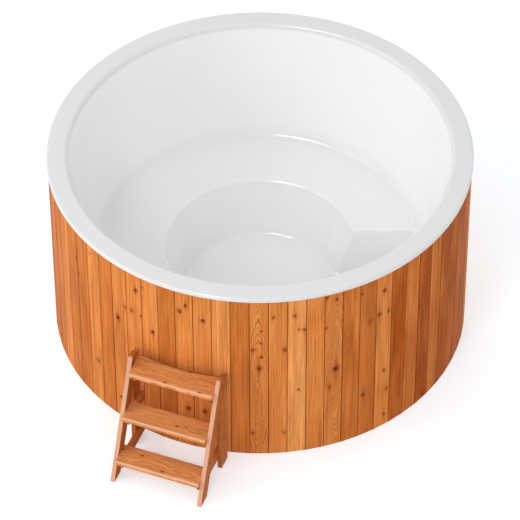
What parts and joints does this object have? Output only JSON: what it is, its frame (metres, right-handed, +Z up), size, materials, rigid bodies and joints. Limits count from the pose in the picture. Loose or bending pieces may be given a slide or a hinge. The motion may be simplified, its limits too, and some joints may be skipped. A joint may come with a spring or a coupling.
{
  "type": "cold plunge tub",
  "caption": "Round wood-clad soaking tub with a white moulded liner, curved bench, footwell and drain valve, and a free-standing wooden step for climbing in.",
  "frame": {"origin": "on the floor at the tub's axis, under the middle bearer", "axes": "+Z up, -Y towards the step, +X to the right of someone who faces the tub from the step"},
  "size_m": [1.9992, 2.4574, 1.016],
  "materials": {
    "liner": "glossy white gelcoat",
    "cladding": "oiled knotty softwood, orange brown",
    "step_wood": "oiled softwood, reddish, pale at the edges",
    "frame_wood": "sawn softwood",
    "plywood": "film of sealer",
    "foam": "rigid foam board",
    "pipe_plastic": "grey pipe plastic",
    "seal": "black rubber",
    "steel": "brushed stainless steel",
    "brass": "plain brass",
    "ball": "polished",
    "lever": "dark dipped coating"
  },
  "bodies": {
    "tub": {"liner": "liner", "cladding_01": "cladding", "cladding_02": "cladding", "cladding_03": "cladding", "cladding_04": "cladding", "cladding_05": "cladding", "cladding_06": "cladding", "cladding_07": "cladding", "cladding_08": "cladding", "cladding_09": "cladding", "cladding_10": "cladding", "cladding_11": "cladding", "cladding_12": "cladding", "stud_1": "frame_wood", "stud_2": "frame_wood", "stud_3": "frame_wood", "stud_4": "frame_wood", "stud_5": "frame_wood", "stud_6": "frame_wood", "bearer_1": "frame_wood", "bearer_2": "frame_wood", "bearer_3": "frame_wood", "bearer_4": "frame_wood", "bearer_5": "frame_wood", "upper_ring": "frame_wood", "lower_ring": "frame_wood", "bench_rib_1": "plywood", "bench_rib_2": "plywood", "bench_rib_3": "plywood", "bench_rib_4": "plywood", "base_deck": "plywood", "floor_pad": "foam", "drain_strainer": "steel", "drain_body": "pipe_plastic", "drain_nut": "pipe_plastic", "drain_elbow": "pipe_plastic", "drain_pipe": "pipe_plastic", "drain_gasket": "seal", "outlet_flange": "steel", "valve_body": "brass", "hose_tail": "brass"},
    "step": {"step_stringer_left": "step_wood", "step_stringer_right": "step_wood", "step_leg_left": "step_wood", "step_leg_right": "step_wood", "step_tread_bottom": "step_wood", "step_tread_middle": "step_wood", "step_tread_top": "step_wood", "step_batten": "step_wood", "step_rail_bottom_left": "step_wood", "step_rail_bottom_right": "step_wood", "step_rail_middle_left": "step_wood", "step_rail_middle_right": "step_wood", "step_rail_top_left": "step_wood", "step_rail_top_right": "step_wood"},
    "valve_handle": {"valve_ball": "ball", "valve_stem": "brass", "valve_lever": "lever", "lever_nut": "steel"}
  },
  "joints": [
    {"name": "step_slide", "type": "slide", "parent": "tub", "child": "step", "axis": [0, -1, 0], "range_m": [0, 0.5]},
    {"name": "valve_turn", "type": "hinge", "parent": "tub", "child": "valve_handle", "pos_m": [0.16611, 1.03703, 0.0833], "axis": [0, 0, 1], "range_deg": [0, 90]}
  ]
}
